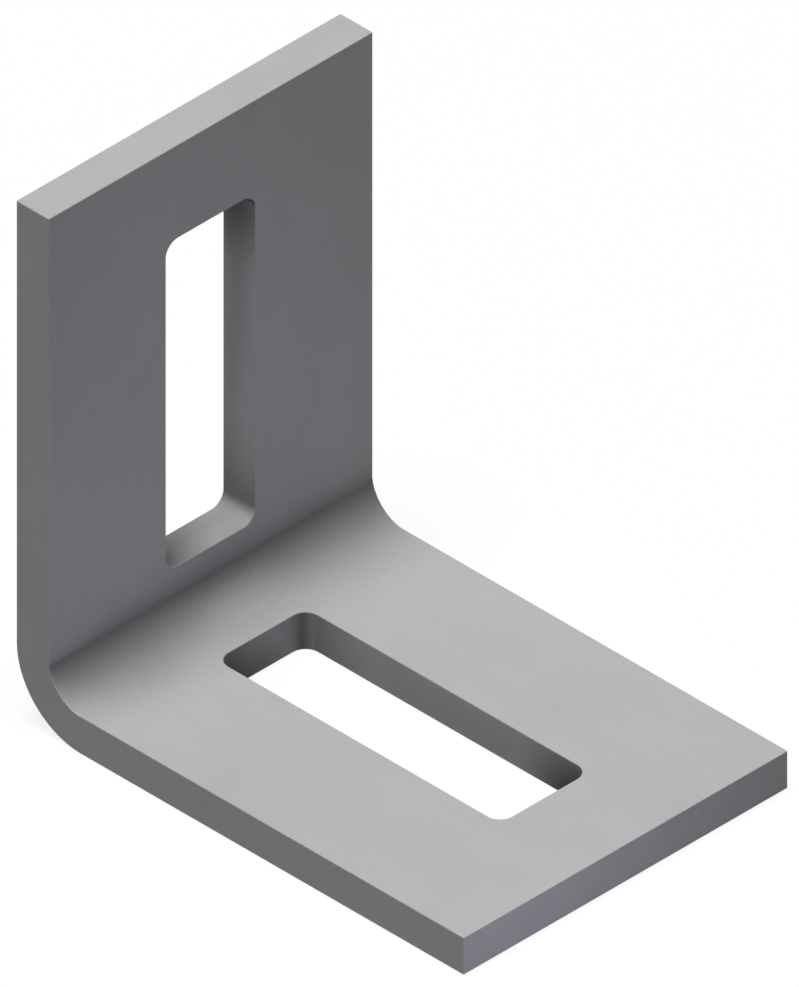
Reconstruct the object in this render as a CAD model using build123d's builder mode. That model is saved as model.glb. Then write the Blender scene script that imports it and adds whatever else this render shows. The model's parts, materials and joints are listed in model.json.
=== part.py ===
from build123d import *
import os

# Angle bracket, folded from one piece of flat steel plate, with a long bolt slot in each leg.
# The base leg lies on z = 0 and runs along +X. The upright stands at the -X end, and the fold runs along Y.
# The origin is the middle of the footprint, at the level of the base's underside. All sizes are millimetres.

# Plate and fold
thickness = 4.0
width = 40.0
base_leg = 55.2
upright_leg = 55.2
inner_bend_radius = 4.0

# Bolt slots: one along each leg, centred across the width
slot_width = 11.0
slot_corner_radius = 1.5
bend_to_slot = 2.2
slot_to_tip = 10.0

# Rounding left on the cut edges by deburring
edge_break = 0.1

# Both faces of the fold turn about one axis, so the plate keeps its thickness round the corner
outer_bend_radius = inner_bend_radius + thickness

# Where the bracket starts and ends along X: the upright's outer face, and the base leg's tip
back = -base_leg / 2
front = base_leg / 2

# Each slot fills its leg's flat, but for the land left at either end
slot_start = outer_bend_radius + bend_to_slot
base_slot_length = base_leg - slot_to_tip - slot_start
upright_slot_length = upright_leg - slot_to_tip - slot_start

# The face inside the angle of each leg, with its origin at the middle of the slot and x towards the tip
base_inner_face = Plane(
    origin=(back + slot_start + base_slot_length / 2, 0, thickness),
    x_dir=(1, 0, 0),
    z_dir=(0, 0, 1),
)
upright_inner_face = Plane(
    origin=(back + thickness, 0, slot_start + upright_slot_length / 2),
    x_dir=(0, 0, 1),
    z_dir=(1, 0, 0),
)

with BuildPart() as angle_bracket:
    # The folded section: the outer outline from tip to tip, thickened towards the inside of the angle
    with BuildSketch(Plane.XZ) as section:
        with BuildLine() as outline:
            FilletPolyline((front, 0), (back, 0), (back, upright_leg), radius=outer_bend_radius)
            offset(amount=thickness, side=Side.RIGHT)
        make_face()
    extrude(amount=width / 2, both=True)

    # The slots, cut square through each leg
    for inner_face, slot_length in (
        (base_inner_face, base_slot_length),
        (upright_inner_face, upright_slot_length),
    ):
        with BuildSketch(inner_face) as slot:
            RectangleRounded(slot_length, slot_width, slot_corner_radius)
        extrude(amount=-thickness, mode=Mode.SUBTRACT)

    # Every cut edge is broken. The lines where a flat runs on smoothly into a round are no edges.
    rounds = angle_bracket.faces().filter_by(GeomType.CYLINDER)
    run_out_lines = rounds.edges().filter_by(GeomType.LINE)
    fillet(angle_bracket.edges() - run_out_lines, radius=edge_break)

angle_bracket.part.label = "angle_bracket"

os.makedirs("parts", exist_ok=True)
export_step(angle_bracket.part, "parts/angle_bracket.step")
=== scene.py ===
"""The angle bracket's looks and its studio: a satin steel plate on a pale floor, seen in isometric view."""
import json
import math

import bpy
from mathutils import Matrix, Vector


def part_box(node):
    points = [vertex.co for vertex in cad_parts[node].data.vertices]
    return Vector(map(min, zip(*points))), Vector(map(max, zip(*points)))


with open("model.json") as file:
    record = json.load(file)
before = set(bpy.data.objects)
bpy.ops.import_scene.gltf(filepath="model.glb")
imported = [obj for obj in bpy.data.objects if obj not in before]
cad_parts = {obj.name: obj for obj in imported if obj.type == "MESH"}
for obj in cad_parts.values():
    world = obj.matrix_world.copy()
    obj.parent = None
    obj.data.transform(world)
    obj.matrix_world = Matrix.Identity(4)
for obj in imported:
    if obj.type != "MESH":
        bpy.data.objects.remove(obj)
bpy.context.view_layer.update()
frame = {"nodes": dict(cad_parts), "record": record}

# The bracket's sizes, read from its frame. All sizes and places are in metres.
mm = 0.001
bracket = frame["nodes"]["angle_bracket"]
low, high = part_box("angle_bracket")
half_height = (low.z + high.z) / 2
plate_thickness = max(v.co.x for v in bracket.data.vertices if v.co.z > half_height) - low.x

# The fold's inside radius is the plate's thickness. Its length is that of the plate's middle layer.
inner_bend_radius = plate_thickness
outer_bend_radius = inner_bend_radius + plate_thickness
fold_length = math.pi / 2 * (inner_bend_radius + outer_bend_radius) / 2

# The slots' sizes. Both legs have the same slot, and its place is measured from where the fold ends.
# The margin takes in the rounding of its edges.
slot = next(mount for mount in frame["record"]["mounts"] if mount["name"] == "base_slot")
slot_half_width = slot["dims"]["hole_r_mm"] * mm
slot_length = slot["dims"]["slot_length_mm"] * mm
slot_middle = slot["pos_m"][0] - (low.x + outer_bend_radius)
slot_start = slot_middle - slot_length / 2
slot_end = slot_middle + slot_length / 2
slot_corner_radius = 0.0015
slot_margin = 0.0002

# Sizes of the steel's grains along the plate, across it and through it
cloud_size = (0.010, 0.006, 0.006)
rolling_grain_size = (0.0045, 0.00016, 0.0030)
cut_grain_size = (0.00022, 0.00022, 0.0045)
speckle_size = (0.00018, 0.00018, 0.00018)

# How finely the clouds break up, how strongly the finer grains show in the tone, and how high they stand
cloud_detail = 3.0
grain_in_tone = 0.8
speckle_in_tone = 0.5
texture_height = 0.000006

# The satin's roughness and gloss, and what the grains and the other finishes add to the roughness
satin_roughness = 0.52
satin_gloss = 0.3
grain_roughness = 0.10
speckle_roughness = 0.08
burnished_roughness = -0.10
slot_shade_roughness = 0.40

# How far the edges show burnish, and how much lighter the side of the slots' walls is that the punch
# rubbed:
# partly a real burnish, and partly painted light that the walls don't get inside the slots. That side
# begins between these two shares of the thickness, counted from the outside of the angle.
edge_burnish = 0.5
upright_wall_burnish_and_light = 0.9
base_wall_burnish_and_light = 0.5
lit_land_start = (0.25, 0.75)

# Painted shade: a dark line in the crease of the fold, beside the upright, where the shade falls. Above it,
# it fades out over the first upward distance at the bracket's near end, and over the second past it. Round
# the fold it fades out over the first reach between the slots, and the second beside them. The slope makes
# it reach further towards the near end, by that share of the distance from the middle.
fold_shade_along = -0.862 * fold_length
fold_shade_strength = 1.03
fold_shade_upward = (0.0008, 0.0016)
fold_shade_near_end = (-0.022, -0.010)
fold_shade_reach = (0.0072, 0.0105)
fold_shade_beside_slots = 0.010
fold_shade_slope = 0.06

# Painted shade on the slots' walls, darkest by their ends and corners: how much there is at the outside of
# the angle and at its inside. By the tips there is no more than the most given for each leg. A share over 1
# stays full for longer before it thins out.
side_wall_shade = {"upright": (0.68, 0.68), "base": (0.68, 0.33)}
end_wall_shade = {"upright": (0.35, 0.10), "base": (0.56, 0.18)}
tip_shade = (1.32, 0.56)
most_tip_shade = {"upright": 0.85, "base": 1.25}
corner_line_shade = 0.75
least_base_shade = 0.08

# How far the painted shade reaches from either end of a slot, and where it lies by the corners and on the
# end walls
shade_reach_from_fold = 0.011
shade_reach_from_tip = 0.0105
side_wall_start = 0.0004
end_wall_fade = 0.0095
tip_corner = (0.0011, 0.0016)
corner_line_across = 0.00485
corner_line_width = 0.0006

# Linear tones and the colours of the lamps
steel_dark = (0.415, 0.415, 0.418)
steel_light = (0.475, 0.475, 0.478)
# Burnished steel on the edges; on the slots' walls it is burnish with painted light added
burnish_and_light_tone = (0.52, 0.52, 0.525)
# Painted shade in the crease of the fold, beside the upright
fold_shade_tone = (0.167, 0.167, 0.163)
# Painted shade in the slots' ends and corners
slot_shade_tone = (0.09, 0.09, 0.091)
floor_bounce_tone = (0.25, 0.25, 0.25)
floor_seen_tone = (1.0, 1.0, 1.0)
room_tone = (0.0, 0.0, 0.0)
white = (1.0, 1.0, 1.0)
cool_side = (0.68, 0.67, 1.0)
cool_low = (0.77, 0.76, 1.0)

# Where the lamps are aimed
bracket_foot = (0, 0, 0)
bracket_middle = (0, 0, 0.020)
near_end_of_upright = (low.x + plate_thickness, -0.018, 0.016)


class Value:
    """A socket whose value can be used in arithmetic. Each operator adds one Math node."""

    def __init__(self, shader, socket):
        self.shader = shader
        self.socket = socket

    def math(self, operation, *operands):
        return self.shader.add("ShaderNodeMath", {"operation": operation}, dict(enumerate(operands)))

    def __add__(self, other):
        return self.math("ADD", self, other)

    def __radd__(self, other):
        return self.math("ADD", other, self)

    def __sub__(self, other):
        return self.math("SUBTRACT", self, other)

    def __rsub__(self, other):
        return self.math("SUBTRACT", other, self)

    def __mul__(self, other):
        return self.math("MULTIPLY", self, other)

    def __rmul__(self, other):
        return self.math("MULTIPLY", other, self)

    def __truediv__(self, other):
        return self.math("DIVIDE", self, other)

    def __rtruediv__(self, other):
        return self.math("DIVIDE", other, self)

    def __pow__(self, other):
        return self.math("POWER", self, other)

    def __rpow__(self, other):
        return self.math("POWER", other, self)

    def __lt__(self, other):
        return self.math("LESS_THAN", self, other)

    def __gt__(self, other):
        return self.math("GREATER_THAN", self, other)

    def __neg__(self):
        return 0 - self

    def __abs__(self):
        return self.math("ABSOLUTE", self)

    def least(self, other):
        return self.math("MINIMUM", self, other)

    def most(self, other):
        return self.math("MAXIMUM", self, other)

    def root(self):
        return self.math("SQRT", self)

    def angle_from(self, other):
        return self.math("ARCTAN2", self, other)

    def rise(self, start, end):
        """0 up to start and 1 from end on, with a smooth slope between them."""
        return self.shader.add("ShaderNodeMapRange", {"interpolation_type": "SMOOTHSTEP"},
                               {"Value": self, "From Min": start, "From Max": end})

    def near(self, half_width):
        """1 where the value is 0, a half where it is half_width either way, and fading out from there."""
        widths = self / half_width
        return 1 / (1 + widths * widths)

    def fading(self, reach, power=1.5):
        """1 where the value is 0, falling to 0 at reach, fast at first and then more slowly."""
        return (1 - self / reach).most(0) ** power


def between(first, second, share):
    """One number turning into another as share goes from 0 to 1."""
    return first + (second - first) * share


class Shader:
    """The node tree of one material or world."""

    # A Mix node has sockets for each kind of data. These are the numbers of those for colours.
    mix_first = 6
    mix_second = 7
    mix_result = 2

    def __init__(self, owner):
        owner.use_nodes = True
        self.tree = owner.node_tree
        self.tree.nodes.clear()

    def add(self, kind, settings=None, inputs=None, output=0):
        """Adds a node: its settings first, then its sockets' values or links. Returns one output."""
        node = self.tree.nodes.new(kind)
        for name, value in (settings or {}).items():
            setattr(node, name, value)
        for name, value in (inputs or {}).items():
            if isinstance(value, Value):
                self.tree.links.new(value.socket, node.inputs[name])
            else:
                node.inputs[name].default_value = value
        return Value(self, node.outputs[output]) if node.outputs else None

    def parts(self, vector):
        """A vector's three components."""
        split = self.add("ShaderNodeSeparateXYZ", inputs={0: vector})
        return [Value(self, output) for output in split.socket.node.outputs]

    def blend(self, first, second, share):
        """One colour turning into another as share goes from 0 to 1."""
        first, second = [c if isinstance(c, Value) else (*c, 1.0) for c in (first, second)]
        inputs = {"Factor": share, self.mix_first: first, self.mix_second: second}
        return self.add("ShaderNodeMix", {"data_type": "RGBA"}, inputs, output=self.mix_result)

    def noise(self, place, grain_size, detail=2.0):
        """Noise from -0.5 to 0.5, with grains of that size along each direction of place."""
        scaled = self.add("ShaderNodeVectorMath", {"operation": "DIVIDE"}, {0: place, 1: grain_size})
        noise = self.add("ShaderNodeTexNoise", inputs={"Vector": scaled, "Scale": 1.0, "Detail": detail})
        return noise - 0.5


def flat_plate_place(shader):
    """Where a point lay on the flat plate before folding: along the plate, across it and through it.

    Along is 0 where the fold runs on into the base leg, and falls towards the upright's tip. Through is 0
    on the outside of the angle. Also gives how far past the fold a point lies on its leg, and how squarely
    the surface faces through the plate: 1 on the rolled faces, 0 on the cut ones."""
    x, y, z = shader.parts(shader.add("ShaderNodeTexCoord", output="Object"))
    normal_x, _, normal_z = shader.parts(shader.add("ShaderNodeTexCoord", output="Normal"))
    past_fold_x = x - (low.x + outer_bend_radius)
    past_fold_z = z - (low.z + outer_bend_radius)
    inward_x = -past_fold_x.least(0)
    inward_z = -past_fold_z.least(0)
    from_axis = (inward_x * inward_x + inward_z * inward_z).root()
    through = outer_bend_radius - from_axis
    fold_share = inward_x.angle_from(inward_z) / (math.pi / 2)
    along = past_fold_x.most(0) - past_fold_z.most(0) - fold_share * fold_length
    past_fold = past_fold_x.most(0) + past_fold_z.most(0)
    facing = (normal_x * inward_x + normal_z * inward_z) / from_axis
    return along, y, through, past_fold, facing * facing


def painted_fold_shade(along, across, inward):
    """How strong the painted shade is in the crease of the fold, beside the upright."""
    past_line = along - fold_shade_along
    beside_slots = abs(across).rise(0, fold_shade_beside_slots)
    reach = between(*fold_shade_reach, beside_slots) - fold_shade_slope * across
    upward = between(*fold_shade_upward, across.rise(*fold_shade_near_end))
    shade = past_line.most(0).fading(reach) * past_line.least(0).near(upward)
    return fold_shade_strength * shade * inward


def wall_shade_share(slot_shade, base_leg, inward):
    """How much painted shade a wall of a leg's slot gets, between the outside and the inside of the angle.
    """
    upright = between(*slot_shade["upright"], inward)
    base = between(*slot_shade["base"], inward)
    return between(upright, base, base_leg)


def slot_wall_shade(base_leg, across, inward, past_fold):
    """How much painted shade a slot's walls get by their ends and corners: 1 where it is full.

    Most of it lies towards the end that is nearer the leg's tip. By the fold there is some on the side
    walls and some on the -Y side of the end wall. The base leg has a line of it down the corners there, and
    a trace on all its walls."""
    from_fold_end = past_fold - slot_start
    from_tip_end = slot_end - past_fold

    past_corner = from_fold_end.rise(side_wall_start, slot_corner_radius)
    side_wall = wall_shade_share(side_wall_shade, base_leg, inward) * past_corner
    end_wall = wall_shade_share(end_wall_shade, base_leg, inward) - across / end_wall_fade
    corner_line = corner_line_shade * base_leg * (abs(across) - corner_line_across).near(corner_line_width)
    by_fold = side_wall.most(end_wall.most(0).least(1)).most(corner_line)
    by_fold = by_fold * from_fold_end.fading(shade_reach_from_fold)

    most_by_tip = between(most_tip_shade["upright"], most_tip_shade["base"], base_leg)
    near_tip = 1 - from_tip_end.rise(0, shade_reach_from_tip)
    by_tip = between(*tip_shade, inward).least(most_by_tip) * near_tip
    in_tip_corner = (1 - base_leg) * (1 - from_tip_end.rise(*tip_corner))
    return by_fold.most(by_tip).most(in_tip_corner).most(least_base_shade * base_leg).least(1)


def satin_steel():
    """Rolled steel plate with a dull satin finish. Its grain follows the plate round the fold."""
    material = bpy.data.materials.new("satin_steel")
    shader = Shader(material)
    along, across, through, past_fold, rolled = flat_plate_place(shader)
    place = shader.add("ShaderNodeCombineXYZ", inputs={0: along, 1: across, 2: through})
    inward = through / plate_thickness
    base_leg = along.rise(0, slot_start)
    cut = 1 - rolled
    slot_wall = cut * (abs(across) < slot_half_width + slot_margin) * (past_fold < slot_end + slot_margin)

    # A broken edge faces between the rolled and the cut sides. The product is 1 half way round it.
    broken_edge = 4 * rolled * cut

    # The punch that cut the slots came from inside the angle, and has rubbed a burnish into that side of
    # their walls. That side is made lighter as well, as painted light that the walls don't get inside the
    # slots.
    wall_burnish_and_light = between(upright_wall_burnish_and_light, base_wall_burnish_and_light, base_leg)
    lit_sheared_land = slot_wall * inward.rise(*lit_land_start) * wall_burnish_and_light
    burnish_and_light = (edge_burnish * broken_edge).most(lit_sheared_land)
    # Painted shade in the slots' ends and corners
    slot_shade = slot_wall * slot_wall_shade(base_leg, across, inward, past_fold)

    cloud = shader.noise(place, cloud_size, cloud_detail)
    speckle = shader.noise(place, speckle_size)
    grain = shader.noise(place, rolling_grain_size) * rolled + shader.noise(place, cut_grain_size) * cut

    lightness = 0.5 + cloud + grain_in_tone * grain + speckle_in_tone * speckle
    tone = shader.blend(steel_dark, steel_light, lightness)
    tone = shader.blend(tone, burnish_and_light_tone, burnish_and_light)
    # Painted shade in the crease of the fold
    tone = shader.blend(tone, fold_shade_tone, rolled * painted_fold_shade(along, across, inward))
    # Painted shade in the slots' ends and corners
    tone = shader.blend(tone, slot_shade_tone, slot_shade)

    roughness = satin_roughness + grain_roughness * grain + speckle_roughness * speckle
    roughness = roughness + burnished_roughness * burnish_and_light + slot_shade_roughness * slot_shade
    height = texture_height * (grain + speckle)
    normal = shader.add("ShaderNodeBump", inputs={"Strength": 1.0, "Distance": 1.0, "Height": height})
    surface = shader.add("ShaderNodeBsdfPrincipled", inputs={
        "Base Color": tone,
        "Roughness": roughness,
        "Metallic": 0.0,
        "Specular IOR Level": satin_gloss,
        "Normal": normal,
    })
    shader.add("ShaderNodeOutputMaterial", inputs={"Surface": surface})
    return material


def seen_rays(shader):
    """1 for what the camera sees, straight or in a reflection, and 0 for light on its way to a surface."""
    rays = [shader.add("ShaderNodeLightPath", output=name)
            for name in ("Is Camera Ray", "Is Glossy Ray", "Is Transmission Ray")]
    return rays[0].most(rays[1]).most(rays[2])


def pale_floor(shadow_share):
    """White where it is seen, with shadow_share of the bracket's shadow, and duller in the light it sheds.

    It is clear from below, so that the bracket's underside can be looked at."""
    material = bpy.data.materials.new("pale_floor")
    shader = Shader(material)
    seen = seen_rays(shader)
    tone = shader.blend(floor_bounce_tone, floor_seen_tone, seen)
    matte = shader.add("ShaderNodeBsdfDiffuse", inputs={"Color": tone})
    glow = shader.add("ShaderNodeEmission", inputs={"Color": (*white, 1.0), "Strength": 1.0})
    top = shader.add("ShaderNodeMixShader", inputs={0: seen * (1 - shadow_share), 1: matte, 2: glow})
    clear = shader.add("ShaderNodeBsdfTransparent")
    from_below = shader.add("ShaderNodeNewGeometry", output="Backfacing")
    surface = shader.add("ShaderNodeMixShader", inputs={0: from_below, 1: top, 2: clear})
    shader.add("ShaderNodeOutputMaterial", inputs={"Surface": surface})
    return material


def studio_room():
    """A backdrop that is seen as white and gives no light of its own."""
    world = bpy.data.worlds.new("studio_room")
    bpy.context.scene.world = world
    shader = Shader(world)
    tone = shader.blend(room_tone, white, seen_rays(shader))
    glow = shader.add("ShaderNodeBackground", inputs={"Color": tone, "Strength": 1.0})
    shader.add("ShaderNodeOutputWorld", inputs={"Surface": glow})


def floor_plane(half_side, gap, shadow_share):
    """A square floor, a hair below the bracket so that the two faces don't coincide."""
    mesh = bpy.data.meshes.new("studio_floor")
    corners = [(x * half_side, y * half_side, low.z - gap) for x, y in ((-1, -1), (1, -1), (1, 1), (-1, 1))]
    mesh.from_pydata(corners, [], [(0, 1, 2, 3)])
    floor = bpy.data.objects.new("studio_floor", mesh)
    bpy.context.scene.collection.objects.link(floor)
    mesh.materials.append(pale_floor(shadow_share))


def direction(azimuth, elevation):
    """The unit vector that points that many degrees round from +X towards +Y, and that many up."""
    azimuth = math.radians(azimuth)
    elevation = math.radians(elevation)
    return Vector((math.cos(azimuth) * math.cos(elevation),
                   math.sin(azimuth) * math.cos(elevation),
                   math.sin(elevation)))


def soft_box(name, aim, azimuth, elevation, distance, diameter, level, colour=white, beam=180):
    """A round area lamp that lights a matte surface facing it at aim to level times the surface's own tone.

    A beam under 180 degrees is that of a lamp with a grid, which fades to nothing at the beam's edge and is
    brighter along its middle by grid_gain."""
    half_beam = math.radians(beam / 2)
    grid_gain = 1 if beam == 180 else math.tan(half_beam) / (math.tan(half_beam) - half_beam)
    towards_lamp = direction(azimuth, elevation)
    data = bpy.data.lights.new(name, "AREA")
    data.shape = "DISK"
    data.size = diameter
    data.spread = 2 * half_beam
    data.energy = level * math.pi ** 2 * distance ** 2 / grid_gain
    data.color = colour
    lamp = bpy.data.objects.new(name, data)
    bpy.context.scene.collection.objects.link(lamp)
    lamp.location = Vector(aim) + distance * towards_lamp
    lamp.rotation_mode = "QUATERNION"
    lamp.rotation_quaternion = (-towards_lamp).to_track_quat("-Z", "Y")
    lamp.visible_camera = False


def isometric_camera(picture_height, middle_right, middle_up, distance):
    """A true isometric view. The picture's middle is measured in its plane from the bracket's origin."""
    isometric_elevation = math.degrees(math.atan(math.sqrt(0.5)))
    turn = (-direction(-45, isometric_elevation)).to_track_quat("-Z", "Y")
    data = bpy.data.cameras.new("isometric_camera")
    data.type = "ORTHO"
    data.ortho_scale = picture_height
    data.clip_start = 0.01
    data.clip_end = 20.0
    camera = bpy.data.objects.new("isometric_camera", data)
    bpy.context.scene.collection.objects.link(camera)
    camera.rotation_mode = "QUATERNION"
    camera.rotation_quaternion = turn
    camera.location = turn @ Vector((middle_right, middle_up, distance))
    bpy.context.scene.camera = camera


bracket.material_slots[0].material = satin_steel()

isometric_camera(picture_height=0.086126, middle_right=-0.00022, middle_up=0.02260, distance=0.5)
floor_plane(half_side=3.0, gap=0.00005, shadow_share=0.12)
studio_room()
soft_box("overhead_lamp", bracket_foot, azimuth=-99.5, elevation=83.9,
         distance=4.0, diameter=1.40, level=1.023)
soft_box("side_lamp", bracket_middle, azimuth=-63, elevation=3,
         distance=2.5, diameter=0.35, level=0.0465, colour=cool_side)
soft_box("low_lamp", near_end_of_upright, azimuth=0, elevation=-1.9,
         distance=0.122, diameter=0.020, level=0.125, colour=cool_low, beam=70)

bpy.context.scene.view_settings.view_transform = "Standard"
